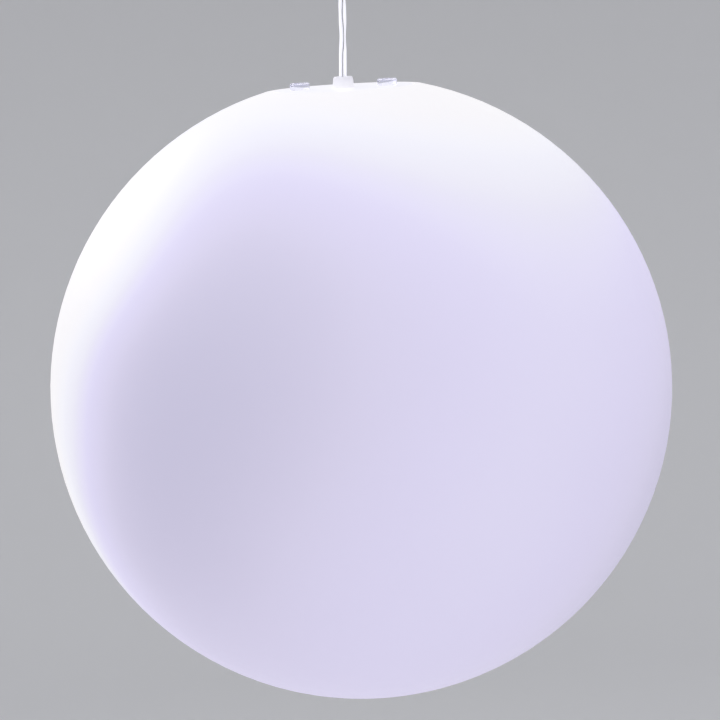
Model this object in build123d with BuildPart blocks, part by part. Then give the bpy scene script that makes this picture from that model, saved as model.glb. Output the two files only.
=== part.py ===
"""Hanging garden globe light: a one-piece moulded globe locked under a flush cap by a bayonet,
with its lamp module inside, on a short flex from a round ceiling fitting.

Millimetres, +Z up. The origin is the centre of the fitting's ceiling face, and the flex, the
gland, the cap and the globe hang on the Z axis below it.
"""
from build123d import *
import math
import os

# ---------------------------------------------------------------- driving sizes
# clearances
running_gap = 0.3
screw_gap = 0.15
thread_gap = 0.02
seam_gap = 0.4

# globe
globe_radius = 150.0
globe_wall = 3.0
flat_radius = 37.0
flat_edge_radius = 5.0
crown_thickness = 6.0
inner_steps = 18

# bayonet neck of the globe and skirt of the cap
neck_bore_radius = 28.5
neck_outer_radius = 33.0
neck_depth = 16.0
cap_recess_radius = 34.0
cap_recess_depth = 3.0
lug_count = 3
lug_reach = 2.0
lug_width = 10.0
lug_height = 3.2
lug_angle = 90.0
twist_range = 35.0
stop_width = 3.0

# cap
cap_thickness = 2.8
cap_edge_chamfer = 0.4
skirt_wall = 2.2
gland_boss_radius = 9.0
gland_boss_depth = 3.2
screw_boss_radius = 4.5
screw_boss_depth = 13.0
seal_width = 1.8
seal_depth = 1.5

# gland at the middle of the cap
gland_base_radius = 5.2
gland_top_radius = 4.6
gland_height = 5.3
gland_top_chamfer = 0.6
gland_shank_radius = 4.0
gland_shank_length = 13.0
gland_washer_radius = 7.5
gland_washer_thickness = 1.2
gland_nut_width = 13.0
gland_nut_height = 4.5

# clear screws beside the gland
clear_screw_spacing = 42.0
clear_head_radius = 4.8
clear_head_height = 3.3
clear_head_chamfer = 0.6
clear_slot_width = 1.3
clear_slot_depth = 1.5
clear_slot_turn = 30.0
clear_shank_radius = 2.5
clear_nut_width = 8.0
clear_nut_height = 4.0
clear_nut_turn = 30.0
clear_screw_spare = 1.5

# flex
cord_diameter = 3.6
cord_free_height = 59.3
core_diameter = 1.6
core_spacing = 1.8

# collar crimped on the flex under the gland
stop_radius = 4.2
stop_height = 7.0
cord_inner_spare = 1.5

# bracket that hangs from the clear screws
sheet_thickness = 2.0
bracket_width = 16.0
bracket_span = 50.0
bracket_inner_width = 26.0
bracket_drop = 48.0
bracket_bend = 1.0
ear_corner_radius = 6.0

# driver in the bracket
driver_gap = 0.2
driver_depth = 18.0
driver_height = 28.0
driver_fillet = 1.5
driver_chamfer = 1.2
driver_lid_thickness = 2.0
driver_wire_spacing = 8.0
wire_end_run = 1.8
driver_screw_rise = 14.0

# lamp module under the bracket
sink_hub_radius = 15.0
sink_bore_radius = 6.0
sink_hub_height = 12.0
sink_base_radius = 25.6
sink_base_thickness = 3.0
sink_spigot_wall = 1.5
sink_spigot_height = 3.0
fin_count = 20
fin_thickness = 1.2
fin_root = 1.0
led_wire_spacing = 5.0
sink_screw_spacing = 20.0
board_gap = 0.5
board_thickness = 1.6
board_screw_inset = 3.5
board_screw_count = 3
board_screw_angle = 90.0
outer_chip_count = 12
inner_chip_count = 6
chip_screw_gap = 0.6
chip_ring_gap = 2.5
chip_length = 3.5
chip_width = 2.8
chip_height = 0.7
cover_wall = 1.5
cover_height = 14.0
cover_chamfer = 1.2
cover_gap = 0.1

# small metal screws
m3_radius = 1.5
m3_head_radius = 2.75
m3_head_height = 1.8
m3_length = 8.0

# ceiling fitting
canopy_radius = 40.0
canopy_height = 30.0
canopy_wall = 2.0
canopy_edge_rise = 6.0
canopy_edge_run = 9.0
gasket_thickness = 1.5
gasket_gap = 0.4
plate_gap = 1.0
plate_thickness = 2.5
mount_hole_spacing = 54.0
mount_hole_radius = 2.25
cable_hole_radius = 6.0
cable_hole_offset = 14.0
side_screw_depth = 8.0
side_lug_width = 10.0
side_lug_length = 5.5
side_lug_height = 11.0

# cord grip in the canopy
grip_flange_radius = 8.0
grip_flange_thickness = 1.5
grip_boss_radius = 6.6
grip_shank_radius = 4.95
grip_shank_length = 11.0
grip_nut_width = 14.0
grip_nut_height = 4.0
throat_depth = 6.0
throat_radius = 2.5
throat_rise = 0.9
tail_gap = 0.3
mouth_depth = 5.0
mouth_half_angle = 33.0
tail_bore_radius = 2.0
clamp_screw_depth = 3.6

# terminal block
terminal_length = 14.0
terminal_width = 14.0
terminal_height = 12.0
terminal_corner_radius = 1.0
terminal_start = 12.5
terminal_pole_spacing = 7.0
terminal_entry_radius = 1.4
terminal_entry_depth = 5.0
terminal_screw_radius = 1.6
terminal_screw_height = 2.5
terminal_well_depth = 3.9
tail_bend_radius = 8.0

# ---------------------------------------------------------------- levels on the Z axis
flat_height = math.sqrt(globe_radius**2 - flat_radius**2)
canopy_bottom = -canopy_height
sway_level = canopy_bottom - throat_depth
throat_top = sway_level + throat_rise
grip_bottom = sway_level - mouth_depth
gland_top = sway_level - cord_free_height
flat_level = gland_top - gland_height
globe_centre = flat_level - flat_height
seat_level = flat_level - cap_recess_depth
neck_bottom = flat_level - neck_depth
lug_top = neck_bottom - running_gap
lug_bottom = lug_top - lug_height
cap_underside = flat_level - cap_thickness
gland_boss_bottom = cap_underside - gland_boss_depth
gland_nut_top = gland_boss_bottom - gland_washer_thickness
gland_shank_bottom = flat_level - gland_shank_length
ear_top = flat_level - screw_boss_depth
ear_bottom = ear_top - sheet_thickness
clear_nut_bottom = ear_bottom - clear_nut_height
stop_top = gland_shank_bottom - running_gap
stop_bottom = stop_top - stop_height
cord_inner_bottom = stop_bottom - cord_inner_spare
web_top = ear_top - bracket_drop
web_bottom = web_top - sheet_thickness
driver_top = web_top + driver_height
lid_top = driver_top + driver_lid_thickness
sink_base_top = web_bottom - sink_hub_height
sink_face = sink_base_top - sink_base_thickness
board_face = sink_face - board_thickness
cover_bottom = sink_face - cover_height

plate_radius = canopy_radius - canopy_wall - plate_gap
sink_spigot_radius = sink_base_radius - cover_wall - cover_gap
cover_inner_radius = sink_spigot_radius + cover_gap
board_radius = sink_spigot_radius - sink_spigot_wall - board_gap
board_screw_circle = board_radius - board_screw_inset
board_screw_angles = [
    math.radians(board_screw_angle + 360 * count / board_screw_count)
    for count in range(board_screw_count)
]
board_screw_places = [
    (board_screw_circle * math.cos(angle), board_screw_circle * math.sin(angle))
    for angle in board_screw_angles
]

outer_chip_circle = board_screw_circle - m3_head_radius - chip_screw_gap - chip_length / 2
inner_chip_circle = outer_chip_circle - chip_length - chip_ring_gap

skirt_outer_radius = neck_bore_radius - running_gap
skirt_inner_radius = skirt_outer_radius - skirt_wall
lug_outer_radius = skirt_outer_radius + lug_reach
slot_radius = lug_outer_radius + seam_gap
cap_radius = cap_recess_radius - seam_gap
cord_radius = cord_diameter / 2
core_radius = core_diameter / 2
core_offset = core_spacing / 2
m3_hole_radius = m3_radius + screw_gap
m3_tapped_radius = m3_radius + thread_gap
screw_x = clear_screw_spacing / 2


def write_piece(piece, name):
    """Label a finished piece and write it to its own file."""
    piece.part.label = name
    export_step(piece.part, f"parts/{name}.step")


def angle_of(chord, radius):
    """Degrees that a chord takes at a radius."""
    return math.degrees(2 * math.asin(chord / (2 * radius)))


def arc_radii(points):
    """The largest steady arc at each inner corner of a route."""
    radii = []
    for before, corner, after in zip(points, points[1:], points[2:]):
        run_in, run_out = Vector(corner) - Vector(before), Vector(after) - Vector(corner)
        half_turn = math.radians(run_in.get_angle(run_out) / 2)
        radii.append(0.45 * min(run_in.length, run_out.length) / math.tan(half_turn))
    return radii


os.makedirs("parts", exist_ok=True)

# ================================================================ globe
# Hollow ball with a thick flat crown, a recess for the cap and a collar below it. The collar
# has one open slot for each lug, and two stops for each lug under its lower edge.
inner_radius = globe_radius - globe_wall
crown_bottom = flat_level - crown_thickness
crown_inner_radius = math.sqrt(inner_radius**2 - (crown_bottom - globe_centre) ** 2)
slot_angle = lug_angle - twist_range
stop_offset = (
    angle_of(lug_width, lug_outer_radius) / 2
    + angle_of(stop_width, lug_outer_radius) / 2
    + angle_of(seam_gap, lug_outer_radius)
)

# The inner wall steps round the ball, never thinner than globe_wall.
crown_angle = math.atan2(crown_bottom - globe_centre, crown_inner_radius)
step_angle = (crown_angle + math.pi / 2) / inner_steps
inner_wall = [
    (
        inner_radius * math.cos(crown_angle - step * step_angle),
        globe_centre + inner_radius * math.sin(crown_angle - step * step_angle),
    )
    for step in range(inner_steps)
]
inner_wall.append((0, globe_centre - inner_radius))

with BuildPart() as globe_shell:
    with BuildSketch(Plane.XZ) as shell_profile:
        with BuildLine():
            ThreePointArc(
                (0, globe_centre - globe_radius),
                (globe_radius, globe_centre),
                (flat_radius, flat_level),
            )
            Polyline(
                (flat_radius, flat_level),
                (cap_recess_radius, flat_level),
                (cap_recess_radius, seat_level),
                (neck_bore_radius, seat_level),
                (neck_bore_radius, neck_bottom),
                (neck_outer_radius, neck_bottom),
                (neck_outer_radius, crown_bottom),
                inner_wall[0],
            )
            Polyline(*inner_wall, (0, globe_centre - globe_radius))
        make_face()
        flat_corner = shell_profile.vertices().sort_by_distance((flat_radius, 0, flat_level))[0]
        fillet(flat_corner, flat_edge_radius)
    revolve(axis=Axis.Z)
    with BuildSketch(Plane.XY.offset(neck_bottom)):
        with PolarLocations(0, lug_count, start_angle=slot_angle):
            with Locations((slot_radius / 2, 0)):
                Rectangle(slot_radius, lug_width + 2 * seam_gap)
    extrude(amount=seat_level - neck_bottom, mode=Mode.SUBTRACT)
    with BuildSketch(Plane.XY.offset(neck_bottom)):
        stop_angles = (lug_angle + stop_offset, slot_angle - stop_offset)
        for stop_angle in stop_angles:
            with PolarLocations(0, lug_count, start_angle=stop_angle):
                with Locations(((neck_bore_radius + neck_outer_radius) / 2 + seam_gap / 2, 0)):
                    Rectangle(neck_outer_radius - neck_bore_radius - 2 * seam_gap, stop_width)
    extrude(amount=-(lug_height + running_gap))
write_piece(globe_shell, "globe_shell")

# ================================================================ cap
# Flush disc with a skirt, bayonet lugs, a boss for the gland and two for the clear screws.
seal_outer_radius = cap_radius - seam_gap
seal_inner_radius = seal_outer_radius - seal_width

with BuildPart() as top_cap:
    with BuildSketch(Plane.XZ):
        with BuildLine():
            Polyline(
                (0, flat_level),
                (cap_radius, flat_level),
                (cap_radius, cap_underside),
                (skirt_outer_radius, cap_underside),
                (skirt_outer_radius, lug_bottom),
                (skirt_inner_radius, lug_bottom),
                (skirt_inner_radius, cap_underside),
                (gland_boss_radius, cap_underside),
                (gland_boss_radius, gland_boss_bottom),
                (0, gland_boss_bottom),
                close=True,
            )
        make_face()
    revolve(axis=Axis.Z)
    chamfer(top_cap.edges().group_by(Axis.Z)[-1], cap_edge_chamfer)
    with BuildSketch(Plane.XY.offset(cap_underside)):
        with Locations((screw_x, 0), (-screw_x, 0)):
            Circle(screw_boss_radius)
    extrude(amount=-(screw_boss_depth - cap_thickness))
    with BuildSketch(Plane.XY.offset(lug_bottom)):
        with PolarLocations(0, lug_count, start_angle=lug_angle):
            with Locations(((skirt_inner_radius + lug_outer_radius) / 2 + seam_gap, 0)):
                Rectangle(lug_outer_radius - skirt_inner_radius, lug_width)
        Circle(lug_outer_radius, mode=Mode.INTERSECT)
    extrude(amount=lug_height)
    with BuildSketch(Plane.XY.offset(cap_underside)):
        Circle(seal_outer_radius)
        Circle(seal_inner_radius, mode=Mode.SUBTRACT)
    extrude(amount=seal_depth, mode=Mode.SUBTRACT)
    with BuildSketch(Plane.XY.offset(flat_level)):
        Circle(gland_shank_radius + screw_gap)
        with Locations((screw_x, 0), (-screw_x, 0)):
            Circle(clear_shank_radius + screw_gap)
    extrude(amount=-screw_boss_depth, mode=Mode.SUBTRACT)
write_piece(top_cap, "top_cap")

with BuildPart() as cap_seal:
    with BuildSketch(Plane.XY.offset(seat_level)):
        Circle(seal_outer_radius)
        Circle(seal_inner_radius, mode=Mode.SUBTRACT)
    extrude(amount=cap_underside - seat_level + seal_depth)
write_piece(cap_seal, "cap_seal")

# ================================================================ gland
with BuildPart() as cable_gland:
    with BuildSketch(Plane.XZ) as gland_profile:
        with BuildLine():
            Polyline(
                (cord_radius + screw_gap, gland_top),
                (gland_top_radius, gland_top),
                (gland_base_radius, flat_level),
                (gland_shank_radius, flat_level),
                (gland_shank_radius, gland_shank_bottom),
                (cord_radius + screw_gap, gland_shank_bottom),
                close=True,
            )
        make_face()
        rim = gland_profile.vertices().sort_by_distance((gland_top_radius, 0, gland_top))[0]
        chamfer(rim, gland_top_chamfer)
    revolve(axis=Axis.Z)
write_piece(cable_gland, "cable_gland")

with BuildPart() as gland_washer:
    with BuildSketch(Plane.XY.offset(gland_nut_top)):
        Circle(gland_washer_radius)
        Circle(gland_shank_radius + screw_gap, mode=Mode.SUBTRACT)
    extrude(amount=gland_washer_thickness)
write_piece(gland_washer, "gland_washer")

with BuildPart() as gland_nut:
    with BuildSketch(Plane.XY.offset(gland_nut_top)):
        RegularPolygon(gland_nut_width / 2, 6, major_radius=False)
        Circle(gland_shank_radius + thread_gap, mode=Mode.SUBTRACT)
    extrude(amount=-gland_nut_height)
write_piece(gland_nut, "gland_nut")

# ================================================================ clear screws
with BuildPart() as clear_screws:
    with Locations((screw_x, 0, flat_level), (-screw_x, 0, flat_level)):
        Cylinder(
            clear_head_radius, clear_head_height, align=(Align.CENTER, Align.CENTER, Align.MIN)
        )
    chamfer(clear_screws.edges().group_by(Axis.Z)[-1], clear_head_chamfer)
    with BuildSketch(Plane.XY.offset(flat_level)):
        with Locations((screw_x, 0), (-screw_x, 0)):
            Circle(clear_shank_radius)
    extrude(amount=-(flat_level - clear_nut_bottom + clear_screw_spare))
    with BuildSketch(Plane.XY.offset(flat_level + clear_head_height)):
        with Locations((screw_x, 0), (-screw_x, 0)):
            Rectangle(2 * clear_head_radius, clear_slot_width, rotation=clear_slot_turn)
    extrude(amount=-clear_slot_depth, mode=Mode.SUBTRACT)
write_piece(clear_screws, "clear_screws")

with BuildPart() as clear_nuts:
    with BuildSketch(Plane.XY.offset(ear_bottom)):
        with Locations((screw_x, 0), (-screw_x, 0)):
            RegularPolygon(
                clear_nut_width / 2, 6, major_radius=False, rotation=clear_nut_turn
            )
            Circle(clear_shank_radius + thread_gap, mode=Mode.SUBTRACT)
    extrude(amount=-clear_nut_height)
write_piece(clear_nuts, "clear_nuts")

# ================================================================ flex
# The free stretch leaves the gland 3 degrees off its axis and comes back to the cord grip.
cord_route = [
    (0.0, 0.0, gland_top),
    (1.0, 0.0, gland_top + 16.8),
    (1.9, 0.0, gland_top + 35.8),
    (1.3, 0.0, gland_top + 48.3),
    (0.0, 0.0, sway_level),
]
cord_radii = arc_radii(cord_route)
print("cord arc radii", [round(radius) for radius in cord_radii])

with BuildPart() as cord:
    with BuildLine() as cord_line:
        FilletPolyline(*cord_route, radius=cord_radii)
    with BuildSketch(Plane(origin=cord_line.line @ 0, z_dir=cord_line.line % 0)):
        Circle(cord_radius)
    sweep()
    split(bisect_by=Plane.XY.offset(gland_top))
cord_length = cord_line.wire().length
cord_volume = math.pi * cord_radius**2 * cord_length
print("cord length", round(cord_length, 2))
print("cord volume share", round(cord.part.volume / cord_volume, 4))
write_piece(cord, "cord")

with BuildPart() as cord_inner:
    with BuildSketch(Plane.XY.offset(gland_top)):
        Circle(cord_radius)
    extrude(amount=cord_inner_bottom - gland_top)
write_piece(cord_inner, "cord_inner")

with BuildPart() as cord_stop:
    with BuildSketch(Plane.XY.offset(stop_top)):
        Circle(stop_radius)
        Circle(cord_radius + thread_gap, mode=Mode.SUBTRACT)
    extrude(amount=-stop_height)
write_piece(cord_stop, "cord_stop")

# ================================================================ bracket
# Hat-shaped strip: two ears under the cap's bosses, two legs and a web.
leg_outer = bracket_inner_width / 2 + sheet_thickness
leg_inner = bracket_inner_width / 2
ear_end = bracket_span / 2

with BuildPart() as led_bracket:
    with BuildSketch(Plane.XZ) as strip:
        with BuildLine():
            Polyline(
                (ear_end, ear_top),
                (leg_inner, ear_top),
                (leg_inner, web_top),
                (-leg_inner, web_top),
                (-leg_inner, ear_top),
                (-ear_end, ear_top),
                (-ear_end, ear_bottom),
                (-leg_outer, ear_bottom),
                (-leg_outer, web_bottom),
                (leg_outer, web_bottom),
                (leg_outer, ear_bottom),
                (ear_end, ear_bottom),
                close=True,
            )
        make_face()
        bends = [corner for corner in strip.vertices() if abs(corner.X) < ear_end - bracket_bend]
        fillet(bends, bracket_bend)
    extrude(amount=bracket_width / 2, both=True)
    ear_corners = led_bracket.edges().filter_by(Axis.Z).filter_by(
        lambda edge: abs(edge.center().X) > ear_end - bracket_bend
    )
    fillet(ear_corners, ear_corner_radius)
    with BuildSketch(Plane.XY.offset(ear_top)):
        with Locations((screw_x, 0), (-screw_x, 0)):
            Circle(clear_shank_radius + screw_gap)
    extrude(amount=-sheet_thickness, mode=Mode.SUBTRACT)
    with BuildSketch(Plane.XY.offset(web_top)):
        Circle(sink_bore_radius)
        with Locations((sink_screw_spacing / 2, 0), (-sink_screw_spacing / 2, 0)):
            Circle(m3_hole_radius)
    extrude(amount=-sheet_thickness, mode=Mode.SUBTRACT)
    with BuildSketch(Plane.YZ):
        with Locations((0, web_top + driver_screw_rise)):
            Circle(m3_hole_radius)
    extrude(amount=leg_outer, both=True, mode=Mode.SUBTRACT)
write_piece(led_bracket, "led_bracket")

# ================================================================ driver
driver_width = bracket_inner_width - 2 * driver_gap

with BuildPart() as driver_case:
    with BuildSketch(Plane.XY.offset(web_top)):
        RectangleRounded(driver_width, driver_depth, driver_fillet)
    extrude(amount=driver_height)
    chamfer(driver_case.edges().group_by(Axis.Z)[0], driver_chamfer)
    with BuildSketch(Plane.YZ.offset(driver_width / 2)):
        with Locations((0, web_top + driver_screw_rise)):
            Circle(m3_tapped_radius)
    extrude(amount=-m3_length, mode=Mode.SUBTRACT)
    with BuildSketch(Plane.YZ.offset(-driver_width / 2)):
        with Locations((0, web_top + driver_screw_rise)):
            Circle(m3_tapped_radius)
    extrude(amount=m3_length, mode=Mode.SUBTRACT)
write_piece(driver_case, "driver_case")

with BuildPart() as driver_lid:
    with BuildSketch(Plane.XY.offset(driver_top)):
        RectangleRounded(driver_width, driver_depth, driver_fillet)
        with Locations((0, driver_wire_spacing / 2), (0, -driver_wire_spacing / 2)):
            Circle(core_radius + screw_gap, mode=Mode.SUBTRACT)
    extrude(amount=driver_lid_thickness)
write_piece(driver_lid, "driver_lid")

with BuildPart() as driver_screws:
    with BuildSketch(Plane.YZ.offset(leg_outer)):
        with Locations((0, web_top + driver_screw_rise)):
            Circle(m3_head_radius)
    extrude(amount=m3_head_height)
    with BuildSketch(Plane.YZ.offset(leg_outer)):
        with Locations((0, web_top + driver_screw_rise)):
            Circle(m3_radius)
    extrude(amount=-m3_length)
    mirror(about=Plane.YZ)
write_piece(driver_screws, "driver_screws")

# The two cores part below the collar and go into the driver's lid.
wire_half = driver_wire_spacing / 2
with BuildPart() as driver_wires:
    wire_route = [
        (0, core_offset, cord_inner_bottom),
        (0, core_offset, cord_inner_bottom - wire_end_run),
        (0, wire_half, lid_top + wire_end_run),
        (0, wire_half, driver_top),
    ]
    with BuildLine() as wire_line:
        FilletPolyline(*wire_route, radius=core_diameter)
    with BuildSketch(Plane(origin=wire_line.line @ 0, z_dir=wire_line.line % 0)):
        Circle(core_radius)
    sweep()
    mirror(about=Plane.XZ)
write_piece(driver_wires, "driver_wires")

# ================================================================ lamp module
with BuildPart() as heat_sink:
    with BuildSketch(Plane.XY.offset(sink_base_top)):
        Circle(sink_hub_radius)
        with PolarLocations((sink_hub_radius + sink_base_radius) / 2 - fin_root, fin_count):
            Rectangle(sink_base_radius - sink_hub_radius, fin_thickness)
    extrude(amount=sink_hub_height)
    with BuildSketch(Plane.XY.offset(sink_face)):
        Circle(sink_base_radius)
    extrude(amount=sink_base_thickness)
    with BuildSketch(Plane.XY.offset(sink_face)):
        Circle(sink_spigot_radius)
        Circle(sink_spigot_radius - sink_spigot_wall, mode=Mode.SUBTRACT)
    extrude(amount=-sink_spigot_height)
    with BuildSketch(Plane.XY.offset(web_bottom)):
        Circle(sink_bore_radius)
    extrude(amount=sink_face - web_bottom, mode=Mode.SUBTRACT)
    with BuildSketch(Plane.XY.offset(web_bottom)):
        with Locations((sink_screw_spacing / 2, 0), (-sink_screw_spacing / 2, 0)):
            Circle(m3_tapped_radius)
    extrude(amount=-m3_length, mode=Mode.SUBTRACT)
    with BuildSketch(Plane.XY.offset(sink_face)):
        with Locations(*board_screw_places):
            Circle(m3_tapped_radius)
    extrude(amount=sink_base_thickness, mode=Mode.SUBTRACT)
write_piece(heat_sink, "heat_sink")

with BuildPart() as sink_screws:
    with BuildSketch(Plane.XY.offset(web_top)):
        with Locations((sink_screw_spacing / 2, 0), (-sink_screw_spacing / 2, 0)):
            Circle(m3_radius)
    extrude(amount=-(m3_length - running_gap))
write_piece(sink_screws, "sink_screws")

with BuildPart() as led_board:
    with BuildSketch(Plane.XY.offset(board_face)):
        Circle(board_radius)
        with Locations(*board_screw_places):
            Circle(m3_hole_radius, mode=Mode.SUBTRACT)
    extrude(amount=board_thickness)
write_piece(led_board, "led_board")

with BuildPart() as led_chips:
    with BuildSketch(Plane.XY.offset(board_face)):
        with PolarLocations(outer_chip_circle, outer_chip_count):
            Rectangle(chip_length, chip_width)
        with PolarLocations(inner_chip_circle, inner_chip_count):
            Rectangle(chip_length, chip_width)
    extrude(amount=-chip_height)
write_piece(led_chips, "led_chips")

with BuildPart() as board_screws:
    with BuildSketch(Plane.XY.offset(board_face)):
        with Locations(*board_screw_places):
            Circle(m3_head_radius)
    extrude(amount=-m3_head_height)
    with BuildSketch(Plane.XY.offset(board_face)):
        with Locations(*board_screw_places):
            Circle(m3_radius)
    extrude(amount=board_thickness + sink_base_thickness - running_gap)
write_piece(board_screws, "board_screws")

with BuildPart() as led_wires:
    with BuildSketch(Plane.XY.offset(web_top)):
        with Locations((0, led_wire_spacing / 2), (0, -led_wire_spacing / 2)):
            Circle(core_radius)
    extrude(amount=sink_face - web_top)
write_piece(led_wires, "led_wires")

with BuildPart() as lamp_cover:
    with BuildSketch(Plane.XY.offset(cover_bottom)):
        Circle(cover_inner_radius + cover_wall)
    extrude(amount=cover_height)
    chamfer(lamp_cover.edges().group_by(Axis.Z)[0], cover_chamfer)
    with BuildSketch(Plane.XY.offset(cover_bottom + cover_wall)):
        Circle(cover_inner_radius)
    extrude(amount=cover_height, mode=Mode.SUBTRACT)
write_piece(lamp_cover, "lamp_cover")

# ================================================================ ceiling fitting
with BuildPart() as ceiling_plate:
    with BuildSketch(Plane.XY.offset(-plate_thickness)):
        Circle(plate_radius)
    extrude(amount=plate_thickness)
    with BuildSketch(Plane.XY.offset(-plate_thickness)):
        with Locations((plate_radius, 0), (-plate_radius, 0)):
            Rectangle(2 * side_lug_length, side_lug_width)
        Circle(plate_radius, mode=Mode.INTERSECT)
    extrude(amount=-side_lug_height)
    with BuildSketch(Plane.XY):
        with Locations((0, mount_hole_spacing / 2), (0, -mount_hole_spacing / 2)):
            Circle(mount_hole_radius)
        with Locations((cable_hole_offset, 0)):
            Circle(cable_hole_radius)
    extrude(amount=-plate_thickness, mode=Mode.SUBTRACT)
    with BuildSketch(Plane.YZ):
        with Locations((0, -side_screw_depth)):
            Circle(m3_tapped_radius)
    extrude(amount=plate_radius, both=True, mode=Mode.SUBTRACT)
write_piece(ceiling_plate, "ceiling_plate")

with BuildPart() as canopy_gasket:
    with BuildSketch(Plane.XY):
        Circle(canopy_radius)
        Circle(plate_radius + gasket_gap, mode=Mode.SUBTRACT)
    extrude(amount=-gasket_thickness)
write_piece(canopy_gasket, "canopy_gasket")

with BuildPart() as canopy_cover:
    with BuildSketch(Plane.XY.offset(canopy_bottom)):
        Circle(canopy_radius)
    extrude(amount=canopy_height - gasket_thickness)
    chamfer(canopy_cover.edges().group_by(Axis.Z)[0], canopy_edge_rise, canopy_edge_run)
    offset(amount=-canopy_wall, openings=canopy_cover.faces().sort_by(Axis.Z)[-1])
    with BuildSketch(Plane.XY.offset(canopy_bottom)):
        Circle(grip_shank_radius + screw_gap)
    extrude(amount=canopy_wall, mode=Mode.SUBTRACT)
    with BuildSketch(Plane.YZ):
        with Locations((0, -side_screw_depth)):
            Circle(m3_hole_radius)
    extrude(amount=canopy_radius, both=True, mode=Mode.SUBTRACT)
write_piece(canopy_cover, "canopy_cover")

with BuildPart() as canopy_screws:
    with BuildSketch(Plane.YZ.offset(canopy_radius)):
        with Locations((0, -side_screw_depth)):
            Circle(m3_head_radius)
    extrude(amount=m3_head_height)
    with BuildSketch(Plane.YZ.offset(canopy_radius)):
        with Locations((0, -side_screw_depth)):
            Circle(m3_radius)
    extrude(amount=-m3_length)
    mirror(about=Plane.YZ)
write_piece(canopy_screws, "canopy_screws")

# ================================================================ cord grip
# The flex bends in the cone at the grip's mouth, and its tail is clamped above the throat.
mouth_radius = throat_radius + mouth_depth * math.tan(math.radians(mouth_half_angle))
flange_bottom = canopy_bottom - grip_flange_thickness
shank_top = canopy_bottom + grip_shank_length
clamp_level = canopy_bottom - clamp_screw_depth

with BuildPart() as cord_grip:
    with BuildSketch(Plane.XZ):
        with BuildLine():
            Polyline(
                (tail_bore_radius, shank_top),
                (grip_shank_radius, shank_top),
                (grip_shank_radius, canopy_bottom),
                (grip_flange_radius, canopy_bottom),
                (grip_flange_radius, flange_bottom),
                (grip_boss_radius, flange_bottom),
                (mouth_radius + seam_gap, grip_bottom),
                (mouth_radius, grip_bottom),
                (throat_radius, sway_level),
                (throat_radius, throat_top),
                (tail_bore_radius, throat_top),
                close=True,
            )
        make_face()
    revolve(axis=Axis.Z)
    with BuildSketch(Plane.XZ):
        with Locations((0, clamp_level)):
            Circle(m3_tapped_radius)
    extrude(amount=-grip_flange_radius, mode=Mode.SUBTRACT)
write_piece(cord_grip, "cord_grip")

with BuildPart() as grip_nut:
    with BuildSketch(Plane.XY.offset(canopy_bottom + canopy_wall)):
        RegularPolygon(grip_nut_width / 2, 6, major_radius=False)
        Circle(grip_shank_radius + thread_gap, mode=Mode.SUBTRACT)
    extrude(amount=grip_nut_height)
write_piece(grip_nut, "grip_nut")

with BuildPart() as clamp_screw:
    with BuildSketch(Plane.XZ.offset(-(cord_radius + thread_gap))):
        with Locations((0, clamp_level)):
            Circle(m3_radius)
    extrude(amount=-(grip_boss_radius - cord_radius - seam_gap))
write_piece(clamp_screw, "clamp_screw")

# ================================================================ tail and terminals
tail_level = -(plate_thickness + terminal_height / 2)
tail_bottom = throat_top + tail_gap
tail_end = -(tail_bend_radius + running_gap)

with BuildPart() as cord_tail:
    with BuildLine() as tail_line:
        FilletPolyline(
            (0, 0, tail_bottom),
            (0, 0, tail_level),
            (tail_end, 0, tail_level),
            radius=tail_bend_radius,
        )
    with BuildSketch(Plane(origin=tail_line.line @ 0, z_dir=tail_line.line % 0)):
        Circle(cord_radius)
    sweep()
write_piece(cord_tail, "cord_tail")

pole_offset = terminal_pole_spacing / 2
with BuildPart() as tail_wires:
    with BuildLine() as tail_wire_line:
        FilletPolyline(
            (tail_end, core_offset, tail_level),
            (tail_end - running_gap - core_radius, core_offset, tail_level),
            (-terminal_start, pole_offset, tail_level),
            (-terminal_start - terminal_entry_depth / 2, pole_offset, tail_level),
            radius=core_diameter,
        )
    with BuildSketch(Plane(origin=tail_wire_line.line @ 0, z_dir=tail_wire_line.line % 0)):
        Circle(core_radius)
    sweep()
    mirror(about=Plane.XZ)
write_piece(tail_wires, "tail_wires")

terminal_end = terminal_start + terminal_length
well_x = (terminal_start + terminal_length / 4, terminal_end - terminal_length / 4)
terminal_bottom = -(plate_thickness + terminal_height)
poles = [(-x, side * pole_offset) for x in well_x for side in (1, -1)]
with BuildPart() as terminal_block:
    with BuildSketch(Plane.XY.offset(-plate_thickness)):
        with Locations((-(terminal_start + terminal_end) / 2, 0)):
            RectangleRounded(terminal_length, terminal_width, terminal_corner_radius)
    extrude(amount=-terminal_height)
    with BuildSketch(Plane.YZ.offset(-terminal_start)):
        with Locations((pole_offset, tail_level), (-pole_offset, tail_level)):
            Circle(terminal_entry_radius)
    extrude(amount=-terminal_entry_depth, mode=Mode.SUBTRACT)
    with BuildSketch(Plane.YZ.offset(-terminal_end)):
        with Locations((pole_offset, tail_level), (-pole_offset, tail_level)):
            Circle(terminal_entry_radius)
    extrude(amount=terminal_entry_depth, mode=Mode.SUBTRACT)
    with BuildSketch(Plane.XY.offset(terminal_bottom)):
        with Locations(*poles):
            Circle(terminal_screw_radius + screw_gap)
    extrude(amount=terminal_well_depth, mode=Mode.SUBTRACT)
write_piece(terminal_block, "terminal_block")

with BuildPart() as terminal_screws:
    with BuildSketch(Plane.XY.offset(terminal_bottom + terminal_well_depth)):
        with Locations(*poles):
            Circle(terminal_screw_radius)
    extrude(amount=-terminal_screw_height)
write_piece(terminal_screws, "terminal_screws")
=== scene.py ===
"""Looks of the hanging garden globe light: finishes of every piece, the twin flex, the lit
globe, a pale studio and the photograph's camera. Metres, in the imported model's own frame."""
import math

import bpy
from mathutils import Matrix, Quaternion, Vector


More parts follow.
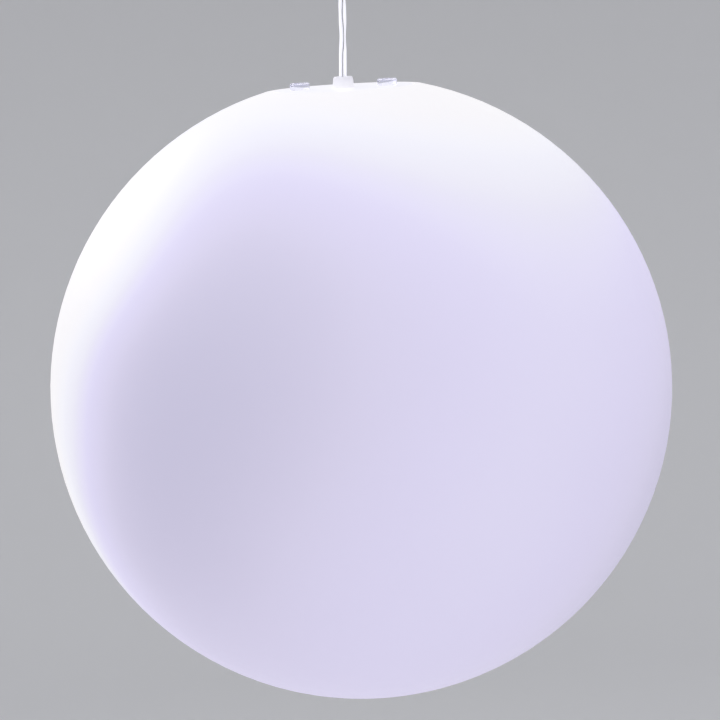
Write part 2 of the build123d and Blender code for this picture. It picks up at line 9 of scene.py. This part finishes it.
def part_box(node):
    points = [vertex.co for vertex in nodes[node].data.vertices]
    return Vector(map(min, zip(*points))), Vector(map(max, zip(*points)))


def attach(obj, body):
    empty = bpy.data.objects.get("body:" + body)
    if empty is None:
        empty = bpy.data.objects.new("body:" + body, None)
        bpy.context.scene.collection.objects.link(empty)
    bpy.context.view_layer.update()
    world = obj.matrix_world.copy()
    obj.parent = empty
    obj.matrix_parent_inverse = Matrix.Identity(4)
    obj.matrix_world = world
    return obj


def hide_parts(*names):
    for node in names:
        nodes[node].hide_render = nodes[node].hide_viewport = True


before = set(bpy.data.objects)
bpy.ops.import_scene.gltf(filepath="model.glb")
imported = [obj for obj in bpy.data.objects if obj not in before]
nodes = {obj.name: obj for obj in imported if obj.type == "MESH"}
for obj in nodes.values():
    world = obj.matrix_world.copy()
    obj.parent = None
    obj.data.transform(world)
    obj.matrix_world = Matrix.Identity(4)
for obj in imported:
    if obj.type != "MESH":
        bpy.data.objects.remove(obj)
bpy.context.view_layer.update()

# ---------------------------------------------------------------- sizes read from the frame
globe_low, globe_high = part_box("globe_shell")
globe_radius = (globe_high.x - globe_low.x) / 2
globe_centre = Vector((0.0, 0.0, globe_low.z + globe_radius))
gland_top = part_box("cable_gland")[1].z
cord_low, cord_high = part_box("cord")
cord_diameter = cord_high.y - cord_low.y

# ---------------------------------------------------------------- camera of the photograph
# The globe's outline is placed in pixels of the square image, and the angles are in degrees.
image_size = 720.0
globe_px_radius = 310.8
globe_px_centre = (361.3, 387.7)
camera_radii_away = 10
camera_distance = camera_radii_away * globe_radius
camera_azimuth = 5.0
camera_elevation = 8.4
camera_roll = 3.4
sensor_width = 36.0
nearest_seen = 0.05
farthest_seen = 60.0


# ================================================================ small helpers
def srgb(red, green, blue):
    """Linear colour of 0-255 display values."""
    out = []
    for value in (red, green, blue):
        share = value / 255
        out.append(share / 12.92 if share <= 0.04045 else ((share + 0.055) / 1.055) ** 2.4)
    return (*out, 1.0)


def shade(colour, share):
    """A colour made darker by a share, or lighter by one above 1."""
    return tuple(channel * share for channel in colour[:3])


class Finish:
    """A node material with a Principled shader, and short ways to add nodes to it."""

    def __init__(self, name):
        self.material = bpy.data.materials.new(name)
        self.material.use_nodes = True
        self.tree = self.material.node_tree
        self.shader = self.tree.nodes["Principled BSDF"]
        self.place = self.node("ShaderNodeTexCoord").outputs["Object"]

    def node(self, kind, **settings):
        made = self.tree.nodes.new(kind)
        for key, value in settings.items():
            setattr(made, key, value)
        return made

    def join(self, source, target):
        self.tree.links.new(source, target)

    def set(self, **values):
        """Plain values of the shader's sockets, with _ for each space in a socket's name."""
        for key, value in values.items():
            self.shader.inputs[key.replace("_", " ")].default_value = value

    def noise(self, scale, detail=3.0, roughness=0.5, stretch=(1, 1, 1)):
        mapping = self.node("ShaderNodeMapping")
        mapping.inputs["Scale"].default_value = stretch
        self.join(self.place, mapping.inputs["Vector"])
        made = self.node("ShaderNodeTexNoise")
        made.inputs["Scale"].default_value = scale
        made.inputs["Detail"].default_value = detail
        made.inputs["Roughness"].default_value = roughness
        self.join(mapping.outputs["Vector"], made.inputs["Vector"])
        return made.outputs["Fac"]

    def ramp(self, source, stops, interpolation="LINEAR"):
        made = self.node("ShaderNodeValToRGB")
        ramp = made.color_ramp
        ramp.interpolation = interpolation
        while len(ramp.elements) < len(stops):
            ramp.elements.new(0.5)
        for element, (place, colour) in zip(ramp.elements, stops):
            element.position = place
            element.color = (*colour[:3], 1.0)
        self.join(source, made.inputs["Fac"])
        return made.outputs["Color"]

    def blend(self, source, first, second):
        """Colour from first to second over the middle of a noise's range."""
        return self.ramp(source, ((0.3, first), (0.7, second)))

    def math(self, operation, first, second):
        made = self.node("ShaderNodeMath", operation=operation)
        for socket, value in zip(made.inputs, (first, second)):
            if isinstance(value, (int, float)):
                socket.default_value = value
            else:
                self.join(value, socket)
        return made.outputs["Value"]

    def grey(self, source, low, high):
        """source from 0 to 1 as a number from low to high."""
        made = self.node("ShaderNodeMapRange")
        made.inputs["To Min"].default_value = low
        made.inputs["To Max"].default_value = high
        self.join(source, made.inputs["Value"])
        return made.outputs["Result"]

    def facing(self, direction):
        """How far each place, seen from the globe's centre, lies in a direction, -1 to 1."""
        centred = self.node("ShaderNodeVectorMath", operation="SUBTRACT")
        self.join(self.place, centred.inputs[0])
        centred.inputs[1].default_value = globe_centre
        product = self.node("ShaderNodeVectorMath", operation="DOT_PRODUCT")
        self.join(centred.outputs["Vector"], product.inputs[0])
        product.inputs[1].default_value = Vector(direction) / globe_radius
        return product.outputs["Value"]

    def bump(self, source, strength, distance):
        """Relief on top of any relief that the shader already has."""
        made = self.node("ShaderNodeBump")
        made.inputs["Strength"].default_value = strength
        made.inputs["Distance"].default_value = distance
        self.join(source, made.inputs["Height"])
        if self.shader.inputs["Normal"].links:
            self.join(self.shader.inputs["Normal"].links[0].from_socket, made.inputs["Normal"])
        self.join(made.outputs["Normal"], self.shader.inputs["Normal"])

    def colour(self, source):
        self.join(source, self.shader.inputs["Base Color"])

    def rough(self, source, low, high):
        self.join(self.grey(source, low, high), self.shader.inputs["Roughness"])

    def glow(self, source):
        """Light that the surface gives off by itself."""
        self.join(source, self.shader.inputs["Emission Color"])
        self.set(Emission_Strength=1.0)

    def even_glow(self, colour):
        self.set(Emission_Color=(*colour, 1.0), Emission_Strength=1.0)


def plastic(name, colour, low=0.35, high=0.5, grain=900.0, depth=0.00003):
    """Moulded plastic: a faint mottle of its colour, an uneven gloss and a fine grain."""
    finish = Finish(name)
    mottle = finish.noise(scale=60.0, detail=4.0)
    finish.colour(finish.blend(mottle, shade(colour, 0.94), colour))
    finish.rough(finish.noise(scale=220.0), low, high)
    finish.bump(finish.noise(scale=grain, detail=2.0), strength=0.35, distance=depth)
    return finish


def metal(name, colour, low, high):
    """Metal with fine drawn or turned lines and a soft stain."""
    finish = Finish(name)
    lines = finish.noise(scale=900.0, roughness=0.6, stretch=(1, 1, 12))
    stain = finish.noise(scale=70.0, detail=4.0)
    finish.colour(finish.blend(stain, shade(colour, 0.86), colour))
    finish.rough(lines, low, high)
    finish.bump(lines, strength=0.25, distance=0.00002)
    finish.set(Metallic=1.0)
    return finish


crease_angle = math.radians(28)


def assign(finish, *names):
    """Give CAD nodes their finish, and smooth shading up to their creases."""
    for name in names:
        node = nodes[name]
        for slot in node.material_slots:
            slot.material = finish.material
        for polygon in node.data.polygons:
            polygon.use_smooth = True
        node.data.set_sharp_from_angle(angle=crease_angle)


# ================================================================ the lit globe
# The shell glows unevenly, and its glow is one number at each place: a base, a slow change from
# side to side, and patches. The patches on the left flank and shoulders are painted rim light,
# and the two dimmer ones at the right rim and underside are painted shade. A patch has a
# direction from the globe's centre, an amount, which is below 0 where the shell is dimmer, and a
# power: the higher it is, the smaller the patch.
glow_base = 0.49
glow_tilt = (0.27, -0.03, -0.17)
glow_and_painted_light_patches = (
    ((0.00, 0.00, 1.00), 0.56, 6.9),  # white crown over the lamp
    ((-0.99, 0.12, -0.12), 0.78, 10.3),  # painted rim light on the left flank
    ((-0.76, -0.37, 0.54), 0.45, 21.5),  # painted rim light, left shoulder, front
    ((-0.72, 0.56, 0.41), 0.50, 12.0),  # painted rim light, left shoulder, back
    ((-0.83, -0.55, 0.00), 0.07, 60.0),  # painted rim light, soft front edge of the flank
    ((0.80, 0.22, -0.56), -0.375, 3.3),  # broad dimmer side, low on the right
    ((0.88, 0.33, -0.35), -0.07, 8.0),  # painted shade at the right rim
    ((0.10, 0.45, -0.89), -0.05, 12.0),  # painted shade on the underside
)
# lavender where the glow is low, to a warm white where it is high; the painted rim light is in
# the white
glow_colours = (
    (0.40, (0.40, 0.38, 0.50)),
    (0.50, (0.50, 0.47, 0.61)),
    (0.59, (0.59, 0.56, 0.72)),
    (0.65, (0.66, 0.65, 0.72)),
    (0.72, (0.72, 0.72, 0.75)),
    (0.80, (0.75, 0.74, 0.73)),
)
shell_tone = (0.21, 0.205, 0.255)


def globe_glow_and_painted_light(finish):
    """Glow of the shell at each place as one number, painted rim light and painted shade
    included.
    """
    total = finish.math("ADD", finish.facing(glow_tilt), glow_base)
    for direction, amount, power in glow_and_painted_light_patches:
        turned_to = finish.math("ADD", finish.facing(direction), 1.0)
        share = finish.math("MULTIPLY", turned_to, 0.5)
        patch = finish.math("MULTIPLY", finish.math("POWER", share, power), amount)
        total = finish.math("ADD", total, patch)
    return total


def opal_finish():
    """Moulded polyethylene, with the lamp's light coming through an uneven wall, and painted rim
    light and painted shade in its glow.
    """
    finish = Finish("opal_polyethylene")
    wall = finish.noise(scale=9.0, detail=2.0)
    evenness = finish.grey(wall, low=0.985, high=1.015)
    # the glow carries painted rim light on the left and painted shade at the right rim and
    # underside
    glow = finish.math("MULTIPLY", globe_glow_and_painted_light(finish), evenness)
    finish.glow(finish.ramp(glow, glow_colours, "CARDINAL"))
    finish.colour(finish.blend(wall, shade(shell_tone, 0.96), shell_tone))
    finish.rough(finish.noise(scale=160.0), low=0.42, high=0.5)
    finish.bump(finish.noise(scale=14.0, detail=2.0), strength=0.12, distance=0.0006)
    finish.bump(finish.noise(scale=700.0), strength=0.12, distance=0.00003)
    finish.set(IOR=1.5, Specular_IOR_Level=0.18)
    return finish


def cap_finish():
    """The cap is the shell's plastic, thicker and so a little less bright than the crown."""
    finish = Finish("opal_cap")
    grain = finish.noise(scale=40.0)
    finish.glow(finish.blend(grain, (0.66, 0.655, 0.69), (0.70, 0.695, 0.73)))
    finish.colour(finish.blend(grain, (0.22, 0.22, 0.25), (0.25, 0.25, 0.28)))
    finish.rough(finish.noise(scale=200.0), low=0.38, high=0.5)
    finish.bump(finish.noise(scale=800.0, detail=2.0), strength=0.2, distance=0.00003)
    return finish


# light of the lit cap that reaches the gland, painted on it as a glow
gland_painted_light_foot = (0.55, 0.54, 0.58)
gland_painted_light_top = (0.41, 0.40, 0.45)


def gland_finish():
    """White nylon on the lit cap, with the cap's light painted on as a glow, lightest at its
    foot.
    """
    finish = Finish("gland_nylon")
    parts = finish.node("ShaderNodeSeparateXYZ")
    finish.join(finish.place, parts.inputs["Vector"])
    rise = finish.node("ShaderNodeMapRange")
    rise.inputs["From Min"].default_value = globe_high.z
    rise.inputs["From Max"].default_value = gland_top
    finish.join(parts.outputs["Z"], rise.inputs["Value"])
    # painted light from the cap, brightest at the gland's foot
    stops = ((0.0, gland_painted_light_foot), (1.0, gland_painted_light_top))
    finish.glow(finish.ramp(rise.outputs["Result"], stops))
    finish.colour(finish.blend(finish.noise(scale=90.0), (0.42, 0.42, 0.44), (0.47, 0.47, 0.49)))
    finish.rough(finish.noise(scale=300.0), low=0.25, high=0.4)
    finish.bump(finish.noise(scale=900.0), strength=0.15, distance=0.00003)
    return finish


# light of the lit cap that the clear screws carry into their heads, painted on them as a faint
# glow
painted_screw_light = (0.04, 0.04, 0.055)


def clear_finish():
    """Clear nylon with a faint haze, and the lit cap's light painted on as a faint glow."""
    finish = Finish("clear_nylon")
    haze = finish.noise(scale=260.0)
    finish.colour(finish.blend(haze, (0.86, 0.86, 0.94), (0.96, 0.96, 1.0)))
    finish.rough(haze, low=0.03, high=0.1)
    finish.bump(finish.noise(scale=500.0), strength=0.15, distance=0.00004)
    finish.set(IOR=1.52, Transmission_Weight=0.9)
    # painted light of the lit cap
    finish.even_glow(painted_screw_light)
    return finish


# ================================================================ flex
curve_steps = 24


def route_points(route, name):
    """Points along the smooth curve that a route's points control."""
    data = bpy.data.curves.new(name, "CURVE")
    data.dimensions = "3D"
    data.resolution_u = curve_steps
    spline = data.splines.new("NURBS")
    spline.points.add(len(route) - 1)
    for point, place in zip(spline.points, route):
        point.co = (*place, 1.0)
    spline.order_u = 3
    spline.use_endpoint_u = True
    holder = bpy.data.objects.new(name, data)
    bpy.context.scene.collection.objects.link(holder)
    bpy.context.view_layer.update()
    mesh = bpy.data.meshes.new_from_object(
        holder.evaluated_get(bpy.context.evaluated_depsgraph_get())
    )
    points = [vertex.co.copy() for vertex in mesh.vertices]
    bpy.data.objects.remove(holder)
    bpy.data.curves.remove(data)
    bpy.data.meshes.remove(mesh)
    return points


def frames_along(points, turn):
    """Side and front directions at each point, turned about the line by turn(distance)."""
    made = []
    travelled = 0.0
    for index, point in enumerate(points):
        before = points[max(index - 1, 0)]
        after = points[min(index + 1, len(points) - 1)]
        if index:
            travelled += (point - before).length
        along = (after - before).normalized()
        side = Vector((1, 0, 0))
        side = (side - along * side.dot(along)).normalized()
        side = Quaternion(along, turn(travelled)) @ side
        made.append((side, along.cross(side).normalized()))
    return made


def tube(name, points, section, turn):
    """Closed tube whose section is a list of (side, front) distances."""
    vertices, faces, size = [], [], len(section)
    for point, (side, front) in zip(points, frames_along(points, turn)):
        vertices += [point + side * a + front * b for a, b in section]
    for ring in range(len(points) - 1):
        for step in range(size):
            here, there = ring * size, (ring + 1) * size
            following = (step + 1) % size
            faces.append((here + step, here + following, there + following, there + step))
    faces.append(tuple(reversed(range(size))))
    faces.append(tuple(range(len(vertices) - size, len(vertices))))
    mesh = bpy.data.meshes.new(name)
    mesh.from_pydata(vertices, [], faces)
    mesh.validate()
    for polygon in mesh.polygons[:-2]:
        polygon.use_smooth = True
    made = bpy.data.objects.new(name, mesh)
    bpy.context.scene.collection.objects.link(made)
    return made


def twin_section(width, radius, web, steps=14):
    """Outline of two strands side by side with a thin web between them."""
    outline = []
    centre = width / 2 - radius
    waist = math.asin(min(1.0, web / 2 / radius))
    first, last = -(math.pi - waist), math.pi - waist
    for sign in (1, -1):
        for step in range(steps):
            angle = first + (last - first) * step / (steps - 1)
            side = centre + radius * math.cos(angle)
            outline.append((sign * side, sign * radius * math.sin(angle)))
    return outline


def round_section(radius, offset, steps=12):
    """Outline of a round core beside the flex's line."""
    angles = [2 * math.pi * step / steps for step in range(steps)]
    return [(offset + radius * math.cos(angle), radius * math.sin(angle)) for angle in angles]


# The route's points, as in the part's source.
cord_route = [
    (0.0, 0.0, gland_top),
    (0.0010, 0.0, gland_top + 0.0168),
    (0.0019, 0.0, gland_top + 0.0358),
    (0.0013, 0.0, gland_top + 0.0483),
    (0.0, 0.0, gland_top + 0.0593),
]
strand_radius = cord_diameter / 4
strand_offset = cord_diameter / 2 - strand_radius
web_thickness = strand_radius * 0.7
core_radius = strand_radius * 0.5
# half width of the painted shadow in the groove
groove_shadow_half_width = cord_diameter / 2 * 0.22
twist_start = 0.008
twist_length = 0.022
twist_angle = math.radians(55)
# light of the lamp that the clear sheath carries upwards, painted on it as an even glow
painted_carried_light = (0.34, 0.34, 0.37)


def cord_turn(distance):
    """The flat flex turns partly edge on and back, again and again, above its straight foot."""
    if distance < twist_start:
        return 0.0
    return twist_angle * math.sin(math.pi * (distance - twist_start) / twist_length) ** 2


def sheath_finish():
    """Clear sheath with drawn streaks, and the lamp's light painted on as an even glow."""
    finish = Finish("clear_sheath")
    streak = finish.noise(scale=500.0, stretch=(1, 1, 0.08))
    finish.colour(finish.blend(streak, (0.90, 0.90, 0.93), (0.97, 0.97, 0.98)))
    finish.rough(streak, low=0.08, high=0.18)
    relief = finish.noise(scale=260.0, detail=2.0, stretch=(1, 1, 0.15))
    finish.bump(relief, strength=0.2, distance=0.00005)
    finish.set(IOR=1.5, Transmission_Weight=0.35)
    # painted light of the lamp
    finish.even_glow(painted_carried_light)
    return finish


def groove_painted_shadow_finish():
    """The web and the sides of the groove between the strands, in a darker grey that is painted
    shadow.
    """
    finish = Finish("clear_web_painted_shadow")
    finish.colour(finish.blend(finish.noise(scale=500.0), (0.42, 0.42, 0.46), (0.52, 0.52, 0.56)))
    finish.rough(finish.noise(scale=300.0), low=0.15, high=0.25)
    finish.set(IOR=1.5, Transmission_Weight=0.3)
    return finish


def core_finish():
    """Tinned strands laid in a slow twist."""
    finish = Finish("tinned_strands")
    wave = finish.node("ShaderNodeTexWave", wave_type="BANDS", bands_direction="DIAGONAL")
    wave.inputs["Scale"].default_value = 900.0
    finish.join(finish.place, wave.inputs["Vector"])
    stops = ((0.1, (0.74, 0.73, 0.75)), (0.9, (0.97, 0.96, 0.97)))
    finish.colour(finish.ramp(wave.outputs["Fac"], stops))
    finish.bump(wave.outputs["Fac"], strength=0.6, distance=0.00008)
    finish.rough(finish.noise(scale=400.0), low=0.25, high=0.4)
    finish.set(Metallic=0.45)
    return finish


def build_sheath(points):
    """The clear sheath, with the groove's faces in the second material, a painted shadow."""
    section = twin_section(cord_diameter, strand_radius, web_thickness)
    sheath = tube("twin_flex", points, section, cord_turn)
    sheath.data.materials.append(sheath_finish().material)
    sheath.data.materials.append(groove_painted_shadow_finish().material)
    for polygon in sheath.data.polygons[:-2]:
        step = polygon.index % len(section)
        beside = (section[step][0] + section[(step + 1) % len(section)][0]) / 2
        # faces within the groove get the painted shadow
        polygon.material_index = int(abs(beside) < groove_shadow_half_width)
    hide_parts("cord")
    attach(sheath, "pendant")
    return sheath


def build_cores(points):
    """One tinned core in the middle of each strand."""
    cores = []
    finish = core_finish()
    for sign, label in ((-1, "left"), (1, "right")):
        section = round_section(core_radius, offset=sign * strand_offset)
        core = tube(f"flex_core_{label}", points, section, cord_turn)
        core.data.materials.append(finish.material)
        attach(core, "pendant")
        cores.append(core)
    return cores


def build_cord():
    points = route_points(cord_route, "flex_line")
    sheath = build_sheath(points)
    cores = build_cores(points)


# ================================================================ lamp and plain finishes
def phosphor_finish():
    """Lit phosphor of the lamp's chips."""
    finish = plastic("phosphor", (0.9, 0.78, 0.3), low=0.15, high=0.25)
    finish.even_glow((1.0, 1.0, 1.0))
    return finish


def frosted_finish():
    """Frosted clear cover of the lamp."""
    finish = plastic("frosted_cover", (0.92, 0.92, 0.95), low=0.3, high=0.45)
    finish.set(Transmission_Weight=0.8, IOR=1.5)
    return finish


def dress_plastics():
    white_cover = plastic("white_cover", (0.80, 0.80, 0.79), low=0.32, high=0.45, grain=700.0)
    assign(white_cover, "canopy_cover")
    white_nylon = plastic("white_nylon", (0.74, 0.74, 0.72), low=0.3, high=0.42)
    assign(white_nylon, "cord_grip", "grip_nut", "clamp_screw", "gland_nut")
    foam = plastic("foam_rubber", (0.06, 0.06, 0.065), 0.75, 0.95, grain=1500.0, depth=0.0001)
    assign(foam, "canopy_gasket", "gland_washer")
    silicone = plastic("seal_silicone", (0.7, 0.7, 0.7), low=0.5, high=0.65)
    assign(silicone, "cap_seal")
    polyamide = plastic("natural_polyamide", (0.72, 0.68, 0.58))
    assign(polyamide, "terminal_block")
    black_case = plastic("black_case", (0.03, 0.03, 0.033), low=0.4, high=0.6)
    assign(black_case, "driver_case", "driver_lid")
    wire_sheath = plastic("wire_sheath", (0.72, 0.72, 0.75), low=0.2, high=0.3)
    assign(wire_sheath, "cord_inner", "cord_tail", "driver_wires", "led_wires", "tail_wires")
    white_board = plastic("white_board", (0.85, 0.85, 0.85), low=0.2, high=0.35)
    assign(white_board, "led_board")


def dress_metals():
    zinc = metal("zinc_steel", (0.62, 0.63, 0.65), low=0.3, high=0.5)
    assign(zinc, "ceiling_plate")
    stainless = metal("stainless", (0.72, 0.72, 0.73), low=0.15, high=0.3)
    assign(stainless, "canopy_screws", "driver_screws", "sink_screws", "board_screws")
    satin_aluminium = metal("satin_aluminium", (0.76, 0.77, 0.78), low=0.3, high=0.45)
    assign(satin_aluminium, "led_bracket", "heat_sink", "cord_stop")
    brass = metal("brass", (0.78, 0.60, 0.28), low=0.2, high=0.35)
    assign(brass, "terminal_screws")


# ================================================================ studio
floor_level = -1.6
floor_radius = 5.0
cove_radius = 1.6
cove_steps = 12
wall_top = 2.6
floor_sides = 128
floor_tone = srgb(206, 206, 207)
backdrop_tone = srgb(179, 180, 184)
air_tone = (0.95, 0.96, 1.0, 1.0)
# name, place, diameter and power of each soft lamp
studio_lamps = (
    ("key_lamp", (-2.2, -2.0, 2.0), 2.4, 26.0),
    ("rim_lamp", (-2.0, 2.2, 1.0), 1.6, 14.0),
)


def floor_profile():
    """Radius and level of the floor's rings after its middle, out and up to the wall's top."""
    profile = [(floor_radius, floor_level)]
    for step in range(1, cove_steps + 1):
        angle = math.pi / 2 * step / cove_steps
        outwards = floor_radius + cove_radius * math.sin(angle)
        upwards = floor_level + cove_radius * (1 - math.cos(angle))
        profile.append((outwards, upwards))
    profile.append((floor_radius + cove_radius, wall_top))
    return profile


def build_floor():
    """Round floor that curves up into a wall, the same from every side."""
    profile = floor_profile()
    vertices, faces = [(0.0, 0.0, floor_level)], []
    for radius, level in profile:
        for side in range(floor_sides):
            angle = 2 * math.pi * side / floor_sides
            vertices.append((radius * math.cos(angle), radius * math.sin(angle), level))
    for side in range(floor_sides):
        faces.append((0, 1 + side, 1 + (side + 1) % floor_sides))
    for ring in range(len(profile) - 1):
        for side in range(floor_sides):
            here, there = 1 + ring * floor_sides, 1 + (ring + 1) * floor_sides
            following = (side + 1) % floor_sides
            faces.append((here + side, there + side, there + following, here + following))
    mesh = bpy.data.meshes.new("studio_floor")
    mesh.from_pydata(vertices, [], faces)
    for polygon in mesh.polygons:
        polygon.use_smooth = True
    floor = bpy.data.objects.new("studio_floor", mesh)
    bpy.context.scene.collection.objects.link(floor)
    finish = Finish("floor_paint")
    stops = ((0.2, floor_tone), (0.8, shade(floor_tone, 1.02)))
    finish.colour(finish.ramp(finish.noise(scale=0.6, detail=2.0), stops))
    finish.rough(finish.noise(scale=3.0), low=0.85, high=0.95)
    mesh.materials.append(finish.material)


def build_air():
    """Even pale light from all round, with the backdrop's tone where it is seen as such."""
    world = bpy.data.worlds.new("studio_air")
    world.use_nodes = True
    bpy.context.scene.world = world
    tree = world.node_tree
    background = tree.nodes["Background"]
    background.inputs["Color"].default_value = air_tone
    background.inputs["Strength"].default_value = 1.0
    backdrop = tree.nodes.new("ShaderNodeBackground")
    backdrop.inputs["Color"].default_value = backdrop_tone
    path = tree.nodes.new("ShaderNodeLightPath")
    seen = tree.nodes.new("ShaderNodeMath")
    seen.operation = "MAXIMUM"
    tree.links.new(path.outputs["Is Camera Ray"], seen.inputs[0])
    tree.links.new(path.outputs["Is Transmission Ray"], seen.inputs[1])
    mirrored = tree.nodes.new("ShaderNodeMath")
    mirrored.operation = "MAXIMUM"
    tree.links.new(seen.outputs["Value"], mirrored.inputs[0])
    tree.links.new(path.outputs["Is Glossy Ray"], mirrored.inputs[1])
    choice = tree.nodes.new("ShaderNodeMixShader")
    tree.links.new(mirrored.outputs["Value"], choice.inputs["Fac"])
    tree.links.new(background.outputs["Background"], choice.inputs[1])
    tree.links.new(backdrop.outputs["Background"], choice.inputs[2])
    tree.links.new(choice.outputs["Shader"], tree.nodes["World Output"].inputs["Surface"])


def build_lamps():
    for name, place, diameter, power in studio_lamps:
        data = bpy.data.lights.new(name, "AREA")
        data.shape = "DISK"
        data.size = diameter
        data.energy = power
        lamp = bpy.data.objects.new(name, data)
        lamp.location = place
        aim = globe_centre - Vector(place)
        lamp.rotation_mode = "QUATERNION"
        lamp.rotation_quaternion = aim.to_track_quat("-Z", "Y")
        bpy.context.scene.collection.objects.link(lamp)


def build_camera():
    """A lens that gives the globe's outline its radius and centre in the photograph."""
    data = bpy.data.cameras.new("photo_camera")
    camera = bpy.data.objects.new("photo_camera", data)
    bpy.context.scene.collection.objects.link(camera)
    bpy.context.scene.camera = camera
    tilt, turn = math.radians(camera_elevation), math.radians(camera_azimuth)
    back = Vector((math.sin(turn), -math.cos(turn), math.tan(tilt))).normalized()
    camera.location = globe_centre + back * camera_distance
    share = globe_radius / camera_distance
    focal_px = globe_px_radius * math.sqrt(1 - share * share) / share
    data.sensor_width = sensor_width
    data.lens = focal_px / image_size * sensor_width
    data.clip_start = nearest_seen
    data.clip_end = farthest_seen
    right_px = globe_px_centre[0] - image_size / 2
    down_px = globe_px_centre[1] - image_size / 2
    aim = (-back).to_track_quat("-Z", "Y")
    roll = Quaternion((0, 0, 1), -math.radians(camera_roll))
    pitch = Quaternion((1, 0, 0), math.atan(down_px / focal_px))
    yaw = Quaternion((0, 1, 0), math.atan(right_px / focal_px))
    camera.rotation_mode = "QUATERNION"
    camera.rotation_quaternion = aim @ roll @ pitch @ yaw


# ================================================================ the whole scene
build_cord()
assign(opal_finish(), "globe_shell")
assign(cap_finish(), "top_cap")
assign(gland_finish(), "cable_gland")
assign(clear_finish(), "clear_screws", "clear_nuts")
assign(phosphor_finish(), "led_chips")
assign(frosted_finish(), "lamp_cover")
dress_plastics()
dress_metals()
build_floor()
build_air()
build_lamps()
build_camera()
bpy.context.scene.view_settings.view_transform = "Standard"
